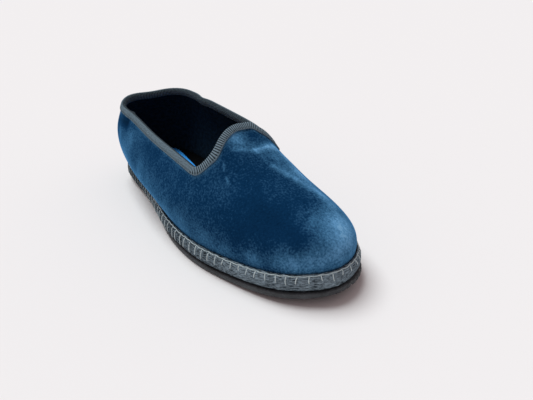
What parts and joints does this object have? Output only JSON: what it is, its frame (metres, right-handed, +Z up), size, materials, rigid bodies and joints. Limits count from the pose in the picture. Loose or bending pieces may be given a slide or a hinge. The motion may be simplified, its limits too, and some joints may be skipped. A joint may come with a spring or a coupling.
{
  "type": "velvet slipper",
  "caption": "Low velvet slip-on slipper for the right foot, with a bound collar rising to a rounded tongue, a blanket-stitched cloth sole and a grooved rubber outsole.",
  "frame": {"origin": "on the floor, under the middle of the shoe's box", "axes": "+Y towards the heel, so the toe points to -Y; -X is the outer (lateral) side of a right foot; +Z up from the floor"},
  "size_m": [0.09, 0.2564, 0.0816],
  "materials": {
    "black_rubber": "satin",
    "quilted_canvas": "ribbed, matte",
    "black_lining": "matte",
    "blue_velvet": "soft pile",
    "grosgrain_tape": "ribbed"
  },
  "bodies": {
    "root": {"outsole": "black_rubber", "cloth_sole": "quilted_canvas", "insole": "black_lining", "upper": "blue_velvet", "collar_binding": "grosgrain_tape"}
  },
  "joints": []
}
